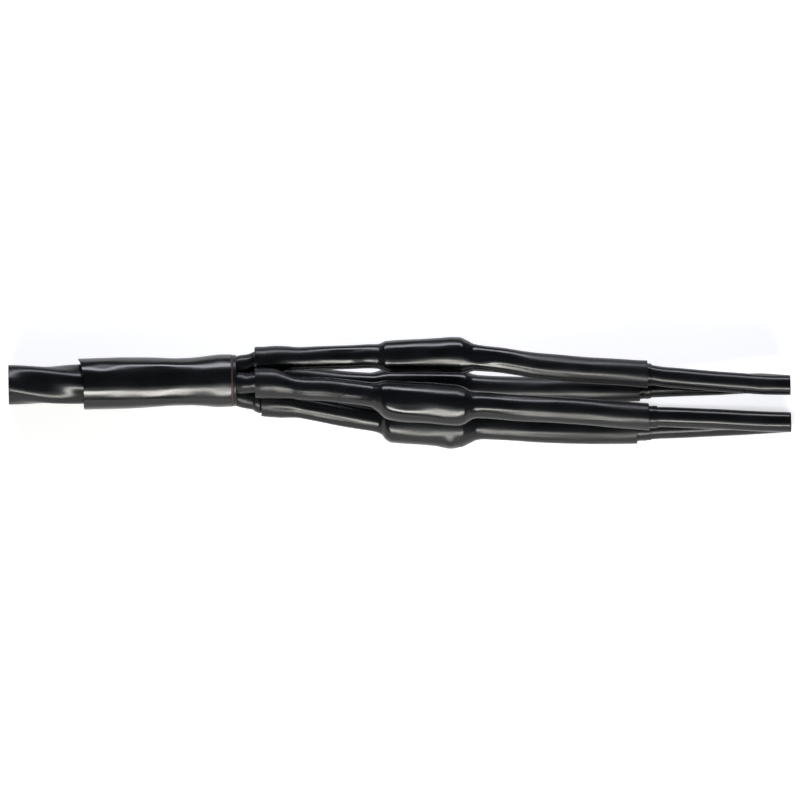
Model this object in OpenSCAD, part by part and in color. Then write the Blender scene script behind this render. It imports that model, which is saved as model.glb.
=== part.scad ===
// Transition cable joint: one four-core cable enters on the left, fans out in a
// four-finger boot, and each core is joined to a single-core cable on the right.
// Millimetres. X runs along the joint, Z is up, the floor is z = 0.

/* [Four-core cable] */
// Outer diameter of the four-core cable
trunk_d = 61.2; // [50:0.2:75]
// Thickness of its outer sheath
trunk_sheath_t = 2.5; // [1.5:0.1:4]
// Thickness of the insulation on a core
core_ins_t = 2; // [1.2:0.1:3]
// Thinnest wall of the bedding, between two cores and outside them
core_web = 0.6; // [0.3:0.1:2]

/* [Single-core cables] */
// Outer diameter of a single-core cable
cable_d = 31; // [24:0.5:36]
// Diameter over its insulation
cable_ins_d = 25.6; // [20:0.2:30]
// Diameter of its conductor
cable_wire_d = 21.2; // [14:0.2:24]

/* [Connectors] */
// Length of a shear-bolt connector
conn_l = 120; // [100:2:140]
// Outer diameter of a connector
conn_d = 38; // [32:0.5:44]
// Thickness of the stop between its two bores
conn_stop = 5; // [3:0.5:10]
// Diameter of a sheared bolt
bolt_d = 12.6; // [8:0.2:16]
// Distance between the two bolts of one bore
bolt_pitch = 24; // [18:1:30]
// Direction of the bolts about the connector, per phase
bolt_turn = [35, 160, -40, -120];

/* [Filler over the connectors] */
// Diameter of the filler, per phase
filler_d = [45.5, 44.5, 55.5, 58.8];
// Sideways lean of the filler, per phase
filler_lean = [0, 0, -5, 0];

/* [Phase tubes and sleeves] */
// Shrunk wall section of the inner tube, as a difference of squared radii
tube_section = 92; // [60:1:120]
// Shrunk wall section of the outer sleeve, as a difference of squared radii
sleeve_section = 112; // [80:1:150]
// How far each outer sleeve reaches back over its finger from the end of the fan
sleeve_back = [45, 40.5, 45, 36];
// How far each outer sleeve reaches over the single-core cable's sheath
sleeve_over = [39.5, 27.5, 40, 21.5];
// How far each inner tube reaches over the single-core cable's sheath
tube_over = [45, 45, 52, 43];

/* [Trunk sleeve and boot] */
// Wall of the trunk sleeve
trunk_sleeve_t = 2.5; // [1.5:0.1:4]
// Left end of the trunk sleeve
trunk_sleeve_from = -494; // [-520:1:-470]
// Right end of the trunk sleeve
trunk_sleeve_to = -254; // [-258:1:-252]
// Wall of the boot over the cable
boot_t = 3.1; // [2:0.1:4]
// Outer radius of the boot where the fingers leave it
boot_crotch_r = 38.6; // [37:0.1:40]
// Outer radius of a finger at its root
finger_root_r = 13.4; // [13:0.1:14]
// Outer radius of a finger at its end
finger_r = 15.4; // [14:0.1:15.6]
// Radial thickness of the mastic band on a finger
band_t = 2.2; // [1.5:0.1:2.4]
// Thickness of the mastic wound on the cable under the sleeve
wrap_t = 5.4; // [3:0.1:6.5]

/* [Layout] */
// Half of the overall length
half_l = 605; // [560:5:700]
// Where the sheath of the four-core cable is cut back
trunk_cut = -290; // [-296:1:-284]
// Where the fan of cores ends
fan_end = -178; // [-182:1:-172]
// Start of the straight stretch that holds a connector
straight_from = -36; // [-44:1:-32]
// End of the straight stretch that holds a connector
straight_to = 120; // [116:1:128]
// Middle of the connectors
conn_x = 42; // [38:1:46]
// Where the sheath of each single-core cable starts
cable_cut = 346; // [330:1:352]

/* [Hidden] */
// gap between coaxial pieces
fit = 0.15;
// depth to which a sheath is abraded and pressed in where something is sealed onto it
abraded = 0.4;
trunk_seat = trunk_d / 2 - abraded;
cable_seat = cable_d / 2 - abraded;
// sides of a lofted ring, and its ratio of flat to corner radius
n = 14;
flat = cos(180 / n);
$fn = 96;

// four equal cores fill the bedding, a web apart from each other and from its outside
bed_r = trunk_d / 2 - trunk_sheath_t - fit;
core_r = (bed_r - core_web - fit - (2 * fit + core_web) / sqrt(2)) / (1 + sqrt(2));
core_ring = (2 * core_r + 2 * fit + core_web) / sqrt(2);
core_wire_d = 2 * (core_r - core_ins_t);
sleeve_from = [for (v = sleeve_back) fan_end - v];
sleeve_to = [for (v = sleeve_over) cable_cut + v];
tube_to = [for (v = tube_over) cable_cut + v];

// Formation of the four phases: x, centre y, centre z, ring radius, lean.
// Phase 1 stands at the lean angle from vertical, 3 a quarter turn ahead of it,
// 4 opposite to 1 and 2 opposite to 3.
trunk_end_y = 2;
trunk_end_z = 36.8;
trunk_cut_y = -2.2;
trunk_cut_z = 45.6;
spread = [
    [trunk_cut, trunk_cut_y, trunk_cut_z, core_ring, 53],
    [fan_end, -8.3, 51.3, 36, 53],
    [-125, -16.5, 57.5, 41.5, 54],
    [-70, -26, 64.5, 48, 53],
    [straight_from, -36, 69, 54, 49.5],
    [straight_to, -36, 69, 54, 49.5],
    [165, -43.8, 69.5, 55.3, 45],
    [215, -51.2, 68, 52.5, 44],
    [285, -56.3, 65, 50.3, 43],
    [cable_cut, -59.3, 62, 48.7, 39],
    [half_l, -63.2, 54.3, 40, 20]
];
// how each phase has settled away from its place on the ring: x, dy, dz
settle = [
    [[-125, 0, 0], [-70, -0.3, 0], [straight_from, 1.4, 0], [straight_to, 0.7, 0], [165, -1.1, 0],
        [215, -0.5, 0], [285, 0.8, 0], [cable_cut, 2.5, 0], [half_l, 0, 0]],
    [[-125, 0, 0], [-70, -4.7, 0], [straight_from, -5.2, -0.5], [straight_to, -11.8, -0.5], [165, -13.1, -3],
        [215, -7.2, -2], [285, -1.3, 0], [cable_cut, 0, 0]],
    [[fan_end, 0, 0], [-125, 0.7, 0], [-70, 4.3, 0], [straight_from, 6.8, 0], [straight_to, -7.7, 0],
        [165, -3.9, 0], [215, 0, 0], [285, 1.9, 0], [cable_cut, 1.5, 0], [half_l, 0, 0]],
    [[fan_end, 0, 0], [-125, 1, 0], [-70, 3.1, 0], [straight_from, 6.4, 0], [straight_to, -5.5, 0],
        [165, -1.4, 0], [215, -0.3, 0], [285, -0.5, 0], [cable_cut, -0.8, 0], [half_l, 0, 0]]
];
slot = [0, 270, 90, 180];   // quarter turns that place the phases round the ring

function settled(x, k, c) = lookup(x, [for (s = settle[k]) [s[0], s[c]]]);
function on_ring(s, k) = [
    s[1] + s[3] * sin(s[4] - slot[k]) + settled(s[0], k, 1),
    s[2] + s[3] * cos(s[4] - slot[k]) + settled(s[0], k, 2)];

// the first station repeats the cable end, so the cores run straight in the cable
function track(k) = concat(
    [concat([-half_l], on_ring([-half_l, trunk_end_y, trunk_end_z, core_ring, 53], k))],
    [for (s = spread) concat([s[0]], on_ring(s, k))]);
tracks = [for (k = [0 : 3]) track(k)];
stops = [for (p = tracks[0]) p[0]];

function at_y(x, k) = lookup(x, [for (p = tracks[k]) [p[0], p[1]]]) + shift_y;
function at_z(x, k) = lookup(x, [for (p = tracks[k]) [p[0], p[2]]]) + shift_z;
function at(x, k) = [x, at_y(x, k), at_z(x, k)];

// radii of the layers, from the core outwards
conn_a = conn_x - conn_l / 2;
conn_b = conn_x + conn_l / 2;
fill_a = conn_a - 2;
fill_b = conn_b + 2;
ramp = 4;               // how far into the filler the tubes reach their full diameter
tube_from = fan_end + 9;
band_a = fan_end - 20;
band_b = fan_end - 6;
reach = 5.5;            // how far a tilted band end reaches along X
tilt = 1.035;           // room for round pieces that cross the rings at an angle

function shrunk(r, section) = sqrt(r * r + section);
function tube_in(k) = [
    [tube_from, core_r + fit], [straight_from, core_r + fit],
    [fill_a + ramp, (filler_d[k] / 2 + fit) / flat], [fill_b - ramp, (filler_d[k] / 2 + fit) / flat],
    [straight_to, cable_ins_d / 2 + fit], [cable_cut - 4, cable_ins_d / 2 + fit],
    [cable_cut + 4, (cable_seat + fit) / flat], [half_l, (cable_seat + fit) / flat]];
function tube_out(k) = [for (p = tube_in(k)) [p[0], shrunk(p[1], tube_section)]];
function sleeve_in(k) = concat(
    [[band_a - reach - 2, finger_r * tilt / flat + fit],
     [band_a - reach, (finger_r + band_t) * tilt / flat + fit], [band_b + reach, (finger_r + band_t) * tilt / flat + fit]],
    [for (p = tube_out(k)) [p[0], p[1] + fit]]);
function sleeve_out(k) = [for (p = sleeve_in(k)) [p[0], shrunk(p[1], sleeve_section)]];

// box of the joint, so that it stands centred on the floor
low_z = min([for (k = [0 : 3]) at_raw(conn_x, k)[1] - lookup(conn_x, sleeve_out(k)) * flat]);
function at_raw(x, k) = [lookup(x, [for (p = tracks[k]) [p[0], p[1]]]) + (lean_in(x) * filler_lean[k]),
    lookup(x, [for (p = tracks[k]) [p[0], p[2]]])];
function lean_in(x) = lookup(x, [[straight_from, 0], [fill_a + ramp, 1], [fill_b - ramp, 1], [straight_to, 0]]);
probe = [band_a, fan_end - 2, straight_from, conn_x, 165, 215, 285, 342, 350, 367];
high_y = max([for (k = [0 : 3], x = probe) at_raw(x, k)[0] + lookup(x, sleeve_out(k))]);
low_y = min([for (k = [0 : 3], x = probe) at_raw(x, k)[0] - lookup(x, sleeve_out(k))]);
shift_y = -(high_y + low_y) / 2;
shift_z = -low_z;

function merged(a, b, i = 0, j = 0) =
    i >= len(a) ? (j >= len(b) ? [] : concat([b[j]], merged(a, b, i, j + 1)))
    : j >= len(b) || a[i] < b[j] - 0.4 ? concat([a[i]], merged(a, b, i + 1, j))
    : a[i] > b[j] + 0.4 ? concat([b[j]], merged(a, b, i, j + 1))
    : concat([a[i]], merged(a, b, i + 1, j + 1));
function inside(list, a, b) = [for (x = list) if (x > a + 0.4 && x < b - 0.4) x];
function firsts(table) = [for (p = table) p[0]];
function rings(table, a, b) = concat([a], merged(inside(stops, a, b), inside(firsts(table), a, b)), [b]);

// corner points of the ring of phase k at x, lean = 1 where the ring follows the filler
function ring(x, k, r, lean) = [for (i = [0 : n - 1])
    [x, at_y(x, k) + lean * lean_in(x) * filler_lean[k] + r * cos(360 * i / n), at_z(x, k) + r * sin(360 * i / n)]];

// solid rod of radius table `t` along phase k
module rod(k, t, a, b) {
    xs = rings(t, a, b);
    m = len(xs);
    polyhedron([for (x = xs) each ring(x, k, lookup(x, t), 0)], concat(
        [[for (i = [0 : n - 1]) i]],
        [for (s = [0 : m - 2], i = [0 : n - 1]) [s * n + i, (s + 1) * n + i, (s + 1) * n + (i + 1) % n]],
        [for (s = [0 : m - 2], i = [0 : n - 1]) [s * n + i, (s + 1) * n + (i + 1) % n, s * n + (i + 1) % n]],
        [[for (i = [n - 1 : -1 : 0]) (m - 1) * n + i]]));
}

// tube along phase k between the radius tables `o` and `c`
module pipe(k, o, c, a, b, lean = 0) {
    xs = rings(o, a, b);
    m = len(xs);
    w = m * n;
    polyhedron(concat([for (x = xs) each ring(x, k, lookup(x, o), lean)],
                      [for (x = xs) each ring(x, k, lookup(x, c), lean)]), concat(
        [for (s = [0 : m - 2], i = [0 : n - 1]) [s * n + i, (s + 1) * n + i, (s + 1) * n + (i + 1) % n]],
        [for (s = [0 : m - 2], i = [0 : n - 1]) [s * n + i, (s + 1) * n + (i + 1) % n, s * n + (i + 1) % n]],
        [for (s = [0 : m - 2], i = [0 : n - 1]) [w + s * n + i, w + (s + 1) * n + (i + 1) % n, w + (s + 1) * n + i]],
        [for (s = [0 : m - 2], i = [0 : n - 1]) [w + s * n + i, w + s * n + (i + 1) % n, w + (s + 1) * n + (i + 1) % n]],
        [for (i = [0 : n - 1]) [i, (i + 1) % n, w + (i + 1) % n, w + i]],
        [for (i = [0 : n - 1]) [(m - 1) * n + i, w + (m - 1) * n + i, w + (m - 1) * n + (i + 1) % n, (m - 1) * n + (i + 1) % n]]));
}

function level(r, a = -half_l, b = half_l) = [[a, r], [b, r]];

// stand something modelled along +Z on the line from p to q
module along(p, q) {
    d = q - p;
    translate(p) rotate([0, acos(d[2] / norm(d)), atan2(d[1], d[0])]) children();
}

// turn a profile of [length, radius] points about the line from p to q
module turned(p, q, points) {
    along(p, q) rotate_extrude() polygon([for (v = points) [v[1], v[0]]]);
}

// the four-core cable's own axis, and the distance along it of a given x
trunk_p = [-half_l, trunk_end_y + shift_y, trunk_end_z + shift_z];
trunk_q = [trunk_cut, trunk_cut_y + shift_y, trunk_cut_z + shift_z];
function tl(x) = (x + half_l) * norm(trunk_q - trunk_p) / (trunk_cut + half_l);

module trunk_sheath() {
    color("#1a1a1c") along(trunk_p, trunk_q) difference() {
        union() {
            cylinder(d = trunk_d, h = tl(trunk_sleeve_from - 2));
            cylinder(r = trunk_seat, h = tl(trunk_cut - 2));
        }
        translate([0, 0, -1]) cylinder(r = bed_r + fit, h = tl(trunk_cut) + 2);
    }
}

module trunk_bedding() {
    color("#2b2b2b") difference() {
        along(trunk_p, trunk_q) cylinder(r = bed_r, h = tl(trunk_cut - 2));
        for (k = [0 : 3]) along(at(-half_l - 3, k) , at(trunk_cut, k)) translate([0, 0, -3]) cylinder(r = core_r + fit, h = tl(trunk_cut) + 6);
    }
}

module core_insulation(k) {
    color("#55504a") pipe(k, level(core_r), level(core_wire_d / 2 + fit), -half_l, conn_a - 3);
}

module core_conductor(k) {
    color("#b9bcc0") rod(k, level(core_wire_d / 2), -half_l, conn_x - conn_stop / 2 - 1.5);
}

module cable_conductor(k) {
    color("#b9bcc0") rod(k, level(cable_wire_d / 2), conn_x + conn_stop / 2 + 1.5, half_l);
}

module cable_insulation(k) {
    color("#55504a") pipe(k, level(cable_ins_d / 2), level(cable_wire_d / 2 + fit), conn_b + 3, half_l);
}

module cable_sheath(k) {
    p = at(cable_cut, k);
    q = at(half_l, k);
    out = norm(q - at(tube_to[k] + 2, k));
    color("#17171a") along(p, q) difference() {
        union() {
            translate([0, 0, 5]) cylinder(r = cable_seat, h = norm(q - p) - 5);
            translate([0, 0, norm(q - p) - out]) cylinder(d = cable_d, h = out);
        }
        cylinder(r = (cable_ins_d / 2 + fit) * 1.003, h = norm(q - p) + 1);
    }
}

// the four bolts of a connector, from `from` outside each conductor out to `reach`
module bolts_of(k, r, reach, from) {
    along(at(conn_a, k), at(conn_b, k)) rotate([0, 0, 180 + bolt_turn[k]])
        for (s = [13, 13 + bolt_pitch, conn_l - 13 - bolt_pitch, conn_l - 13], foot = (s < conn_l / 2 ? core_wire_d : cable_wire_d) / 2 + from)
            translate([foot, 0, s]) rotate([0, 90, 0]) cylinder(r = r, h = reach - foot);
}

module connector(k) {
    color("#c4c7ca") difference() {
        turned(at(conn_a, k), at(conn_b, k), [[0, 0], [0, conn_d / 2 - 2], [2, conn_d / 2], [conn_l - 2, conn_d / 2], [conn_l, conn_d / 2 - 2], [conn_l, 0]]);
        along(at(conn_a - 1, k), at(conn_x, k)) cylinder(r = core_wire_d / 2 + fit, h = conn_l / 2 + 1 - conn_stop / 2);
        along(at(conn_b + 1, k), at(conn_x, k)) cylinder(r = cable_wire_d / 2 + fit, h = conn_l / 2 + 1 - conn_stop / 2);
        bolts_of(k, bolt_d / 2 + fit, conn_d, -1);
    }
}

module shear_bolts(k) {
    color("#8f9499") bolts_of(k, bolt_d / 2, sqrt(pow(conn_d / 2, 2) - pow(bolt_d / 2, 2)) - fit, 0.1);
}

module filler(k) {
    r = filler_d[k] / 2;
    // the end cones clear the tube's ramp, because the filler's ends are square to its own axis
    end = r > conn_d * 0.65 ? ramp + 3.5 : ramp + 1;
    foot = max(r * 0.7, conn_d / 2 - 0.2);
    color("#5f1f1a") difference() {
        translate([0, filler_lean[k], 0]) turned(at(fill_a, k), at(fill_b, k),
            [[0, 0], [0, foot], [end, r], [fill_b - fill_a - end, r], [fill_b - fill_a, foot], [fill_b - fill_a, 0]]);
        along(at(conn_a - fit, k), at(conn_b, k)) cylinder(r = conn_d / 2 + fit, h = conn_l + 2 * fit);
        along(at(fill_a - 1, k), at(conn_b, k)) cylinder(r = core_wire_d / 2 + fit, h = conn_l / 2);
        along(at(fill_b + 1, k), at(conn_a, k)) cylinder(r = cable_wire_d / 2 + fit, h = conn_l / 2);
    }
}

module inner_tube(k) {
    color("#232326") pipe(k, tube_out(k), tube_in(k), tube_from, tube_to[k], 1);
}

module outer_sleeve(k) {
    color("#0f0f12") pipe(k, sleeve_out(k), sleeve_in(k), sleeve_from[k], sleeve_to[k], 1);
}

// a piece turned about the line a core takes through the fan
function fan_l(x) = (x - trunk_cut) * norm(at(fan_end, 0) - at(trunk_cut, 0)) / (fan_end - trunk_cut);
module on_finger(k, points) {
    turned(at(trunk_cut, k), at(fan_end, k), [for (v = points) [fan_l(v[0]), v[1]]]);
}

module finger_band(k) {
    color("#6a2a22") on_finger(k, [[band_a, finger_r + fit], [band_a + 3, finger_r + band_t], [band_b, finger_r + band_t], [band_b, finger_r + fit]]);
}

boot_from = trunk_cut - 62;
neck_r = trunk_seat + fit + boot_t;
module boot() {
    w = trunk_sleeve_to;
    color("#101013") difference() {
        union() {
            turned(trunk_p, trunk_q, [[tl(boot_from), 0], [tl(boot_from), neck_r - 1], [tl(boot_from + 4), neck_r], [tl(trunk_cut - 22), neck_r],
                [tl(trunk_cut + 5), boot_crotch_r - 1.6], [tl(trunk_cut + 22), boot_crotch_r], [tl(w), boot_crotch_r], [tl(w + 5), boot_crotch_r - 3], [tl(w + 5), 0]]);
            for (k = [0 : 3]) on_finger(k, [[w - 10, 0], [w - 10, finger_root_r], [w, finger_root_r], [w + 14, finger_r], [band_b + 1, finger_r], [band_b + 1, 0]]);
        }
        turned(trunk_p, trunk_q, [[tl(boot_from) - 2, 0], [tl(boot_from) - 2, trunk_seat + fit], [tl(trunk_cut - 8), trunk_seat + fit],
            [tl(trunk_cut + 4), boot_crotch_r - 4.2], [tl(w - 8), boot_crotch_r - 3], [tl(w - 8), 0]]);
        for (k = [0 : 3]) on_finger(k, [[w - 12, 0], [w - 12, core_r + fit], [band_b + 7, core_r + fit], [band_b + 7, 0]]);
    }
}

module crotch_mastic() {
    w = trunk_sleeve_to - 8;
    color("#6a2a22") difference() {
        turned(trunk_p, trunk_q, [[tl(trunk_cut + 1.5), 0], [tl(trunk_cut + 1.5), trunk_d / 2 - 1], [tl(trunk_cut + 5), boot_crotch_r - 4.8],
            [tl(w - 0.5), boot_crotch_r - 3.6], [tl(w - 0.5), 0]]);
        for (k = [0 : 3])
            on_finger(k, [[trunk_cut - 4, 0], [trunk_cut - 4, core_r + fit], [w + 4, core_r + fit], [w + 4, 0]]);
    }
}

module trunk_wrap() {
    a = trunk_sleeve_from + 7;
    r = trunk_d / 2;
    b = boot_from - 6;
    color("#6a2a22") turned(trunk_p, trunk_q, [[tl(a), trunk_seat + fit], [tl(a), r + wrap_t - 1.5], [tl(a + 8), r + wrap_t - 0.2], [tl(a + 55), r + wrap_t],
        [tl(b - 27), r + wrap_t - 1.3], [tl(b - 4), r + 3], [tl(b), trunk_seat + fit]]);
}

module trunk_sleeve() {
    a = trunk_sleeve_from;
    b = trunk_sleeve_to;
    t = trunk_sleeve_t;
    r = trunk_d / 2 + wrap_t + fit;
    c = trunk_cut;
    shape = [[a, r], [a + 62, r + 0.4], [boot_from - 33, r - 0.8], [boot_from + 2, neck_r + 0.4], [c - 28, neck_r + fit],
        [c - 16, neck_r + 2], [c + 5, boot_crotch_r - 0.6], [c + 20, boot_crotch_r + 0.4], [b, boot_crotch_r + fit]];
    color("#0d0d10") turned(trunk_p, trunk_q, concat([for (v = shape) [tl(v[0]), v[1]]],
        [[tl(b) + 0.6, boot_crotch_r + fit + t / 2]],
        [for (i = [len(shape) - 1 : -1 : 0]) [tl(shape[i][0]), shape[i][1] + t]]));
}

trunk_sheath();
trunk_bedding();
trunk_wrap();
trunk_sleeve();
boot();
crotch_mastic();
core_conductor(0);  // core_conductor_1
core_conductor(1);  // core_conductor_2
core_conductor(2);  // core_conductor_3
core_conductor(3);  // core_conductor_4
core_insulation(0);  // core_insulation_1
core_insulation(1);  // core_insulation_2
core_insulation(2);  // core_insulation_3
core_insulation(3);  // core_insulation_4
finger_band(0);  // finger_band_1
finger_band(1);  // finger_band_2
finger_band(2);  // finger_band_3
finger_band(3);  // finger_band_4
connector(0);  // connector_1
connector(1);  // connector_2
connector(2);  // connector_3
connector(3);  // connector_4
shear_bolts(0);  // shear_bolts_1
shear_bolts(1);  // shear_bolts_2
shear_bolts(2);  // shear_bolts_3
shear_bolts(3);  // shear_bolts_4
filler(0);  // filler_1
filler(1);  // filler_2
filler(2);  // filler_3
filler(3);  // filler_4
inner_tube(0);  // inner_tube_1
inner_tube(1);  // inner_tube_2
inner_tube(2);  // inner_tube_3
inner_tube(3);  // inner_tube_4
outer_sleeve(0);  // outer_sleeve_1
outer_sleeve(1);  // outer_sleeve_2
outer_sleeve(2);  // outer_sleeve_3
outer_sleeve(3);  // outer_sleeve_4
cable_conductor(0);  // cable_conductor_1
cable_conductor(1);  // cable_conductor_2
cable_conductor(2);  // cable_conductor_3
cable_conductor(3);  // cable_conductor_4
cable_insulation(0);  // cable_insulation_1
cable_insulation(1);  // cable_insulation_2
cable_insulation(2);  // cable_insulation_3
cable_insulation(3);  // cable_insulation_4
cable_sheath(0);  // cable_sheath_1
cable_sheath(1);  // cable_sheath_2
cable_sheath(2);  // cable_sheath_3
cable_sheath(3);  // cable_sheath_4
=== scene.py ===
import math

import bpy
import numpy as np
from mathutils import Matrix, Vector
from mathutils.geometry import tessellate_polygon


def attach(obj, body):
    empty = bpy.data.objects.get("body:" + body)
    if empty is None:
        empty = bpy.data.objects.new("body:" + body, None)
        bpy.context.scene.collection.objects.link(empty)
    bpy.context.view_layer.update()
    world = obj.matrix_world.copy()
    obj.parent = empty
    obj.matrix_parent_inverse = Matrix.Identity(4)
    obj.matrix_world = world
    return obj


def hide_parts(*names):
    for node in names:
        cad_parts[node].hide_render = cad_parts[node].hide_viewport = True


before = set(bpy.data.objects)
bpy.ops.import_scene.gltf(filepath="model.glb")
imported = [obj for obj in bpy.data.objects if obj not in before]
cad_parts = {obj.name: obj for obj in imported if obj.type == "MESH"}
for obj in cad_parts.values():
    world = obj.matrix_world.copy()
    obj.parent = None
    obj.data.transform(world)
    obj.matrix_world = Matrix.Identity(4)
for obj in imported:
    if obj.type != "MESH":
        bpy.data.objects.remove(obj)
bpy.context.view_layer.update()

# Shapes are in millimetres, in the frame's axes: x along the joint, z up. make() turns them into metres.
MM = 0.001
TURN = 2 * np.pi
# Angles round a piece's own line: y is 0 degrees and z is 90. The camera looks down along SEEN.
SEEN = math.radians(115)


def stand(name, data, place, toward):
    """Puts a camera or a lamp at a place in metres, and turns it to face a point."""
    thing = bpy.data.objects.new(name, data)
    thing.location = place
    thing.rotation_mode = "QUATERNION"
    thing.rotation_quaternion = (Vector(toward) - Vector(place)).to_track_quat("-Z", "Y")
    bpy.context.collection.objects.link(thing)
    return thing


# The picture is square and 1.24 m wide, seen from 65 degrees above and 1.1 degrees round. It shows next to no
# perspective, so the camera stands far off.
AZIMUTH, ELEVATION = math.radians(-1.13), math.radians(65)
AIM = Vector((0.0015, 0.0115, 0.0135))
FAR, VIEW_WIDTH, SENSOR, CLIP = 24.0, 1.2415, 36.0, 90.0
back = Vector((math.sin(AZIMUTH) * math.cos(ELEVATION), -math.cos(AZIMUTH) * math.cos(ELEVATION),
               math.sin(ELEVATION)))
lens = bpy.data.cameras.new("camera")
lens.lens, lens.sensor_width, lens.clip_end = SENSOR * FAR / VIEW_WIDTH, SENSOR, CLIP
bpy.context.scene.camera = stand("camera", lens, AIM + back * FAR, AIM)


def eased(table, column, x, held=False):
    """Cubic through the table's stations. The slope at each is the mean of its neighbours' slopes weighted by
    their lengths; with held, it is their harmonic mean, and zero where they change sign, so the curve never
    overshoots."""
    xs, ys = table[:, 0], table[:, column]
    h = np.diff(xs)
    d = np.diff(ys) / h
    m = np.empty(len(xs))
    m[0], m[-1] = d[0], d[-1]
    if held:
        same = d[:-1] * d[1:] > 0
        a, b = 2 * h[1:] + h[:-1], h[1:] + 2 * h[:-1]
        m[1:-1] = np.where(same, (a + b) / (a / np.where(same, d[:-1], 1) + b / np.where(same, d[1:], 1)), 0)
    else:
        m[1:-1] = (h[1:] * d[:-1] + h[:-1] * d[1:]) / (h[1:] + h[:-1])
    i = np.clip(np.searchsorted(xs, x) - 1, 0, len(h) - 1)
    t = np.clip((x - xs[i]) / h[i], 0, 1)
    return ((1 + 2 * t) * (1 - t) ** 2 * ys[i] + t * (1 - t) ** 2 * h[i] * m[i]
            + t * t * (3 - 2 * t) * ys[i + 1] - t * t * (1 - t) * h[i] * m[i + 1])


def step(x, a, b):
    """0 before a, 1 after b, and the smooth cubic between them."""
    t = np.clip((x - a) / (b - a), 0, 1)
    return t * t * (3 - 2 * t)


def apart(a, b):
    """Angle from b to a, between minus and plus half a turn."""
    return (a - b + np.pi) % TURN - np.pi


def swells(seed, x, a, count, around, length):
    """Sum of `count` waves of one height, cos(m a + turn x / l + phase): m is a whole number up to `around`,
    l is between `length` and three times it, and the sum is scaled to stay mostly within -1 and 1."""
    rng = np.random.default_rng(seed)
    total = 0
    for _ in range(count):
        m, l = rng.integers(1, around + 1), length * rng.uniform(1, 3)
        phase, way = rng.uniform(0, TURN), rng.choice((-1, 1))
        total = total + np.cos(m * a + way * TURN * x / l + phase)
    return total / math.sqrt(count) / 1.4


def spots_on(x, a, spots, r):
    """Sum of bells on a skin of radius r, each its height times e to minus the sum of the squares of the two
    distances over their reaches. A spot is its x, its degrees round from the camera's side towards the front,
    its reach along x and round the skin, and its height."""
    return sum(height * np.exp(-((x - at_x) / along) ** 2
                               - (r * apart(a, SEEN + math.radians(at_a)) / across) ** 2)
               for at_x, at_a, along, across, height in spots)


def quads_of(rows, n, ringed=False):
    """Corner numbers of the faces between a grid's rows, each a ring of n points. ringed joins the last row
    to the first."""
    i, j = np.arange(rows if ringed else rows - 1)[:, None], np.arange(n)[None, :]
    k, up = (j + 1) % n, (i + 1) % rows
    return np.stack([i * n + j, i * n + k, up * n + k, up * n + j], -1).reshape(-1)


def make(name, points, loops, sizes, smooth=True):
    """Mesh object from corners in millimetres, the faces' corner numbers in a row and each face's count."""
    mesh = bpy.data.meshes.new(name)
    mesh.vertices.add(len(points))
    mesh.vertices.foreach_set("co", (points * MM).astype(np.float32).reshape(-1))
    mesh.loops.add(len(loops))
    mesh.loops.foreach_set("vertex_index", loops.astype(np.int32))
    mesh.polygons.add(len(sizes))
    mesh.polygons.foreach_set("loop_start", (np.cumsum(sizes) - sizes).astype(np.int32))
    mesh.update(calc_edges=True)
    mesh.validate()
    mesh.polygons.foreach_set("use_smooth", np.full(len(mesh.polygons), smooth))
    piece = bpy.data.objects.new(name, mesh)
    bpy.context.collection.objects.link(piece)
    return piece


def skin(name, shells):
    """One object from shells of (grid, rows joined end to end, first pole, last pole). A grid is rows of
    points, and each row is a closed ring. Faces run round the ring, then on to the next row, so that they
    point outwards."""
    points, loops, sizes, base = [], [], [], 0
    for grid, ringed, first, last in shells:
        rows, n = grid.shape[:2]
        quads = quads_of(rows, n, ringed)
        points.append(grid.reshape(-1, 3))
        loops.append(quads + base)
        sizes.append(np.full(len(quads) // 4, 4))
        j, tip = np.arange(n), base + rows * n
        k = (j + 1) % n
        for pole, rim, a, b in ((first, base, k, j), (last, base + (rows - 1) * n, j, k)):
            if pole is not None:
                points.append(np.array([pole], float))
                loops.append(np.stack([rim + a, rim + b, np.full(n, tip)], -1).reshape(-1))
                sizes.append(np.full(n, 3))
                tip += 1
        base = tip
    return make(name, np.concatenate(points), np.concatenate(loops), np.concatenate(sizes))


def spaced(start, stop, gap, *fine):
    """Stations from start to stop a gap apart, and for each (from, to, gap) of fine, more closely there. One
    that comes too near to its neighbour is left out."""
    closest = 0.15
    parts = [np.linspace(start, stop, max(2, int(round((stop - start) / gap)) + 1))]
    for a, b, g in fine:
        a, b = max(a, start), min(b, stop)
        if b > a:
            parts.append(np.linspace(a, b, int((b - a) / g) + 2))
    xs = np.unique(np.concatenate(parts))
    return xs[np.concatenate([[True], np.diff(xs) > closest])]


def places(xs, around, way=1):
    """x and angle on a grid: a row for each of xs, and `around` angles in each row."""
    return np.meshgrid(xs, way * np.arange(around) * TURN / around, indexing="ij")


def round_line(line, x, r, angle):
    """Points that stand r from the line's (y, z) at x, in the angle's direction."""
    y, z = line(x)
    return np.stack([x, y + r * np.cos(angle), z + r * np.sin(angle)], -1)


def on_line(line, x):
    """The line's own point at one x."""
    return np.array([x, *[float(v) for v in line(np.array(x))]])


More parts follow.
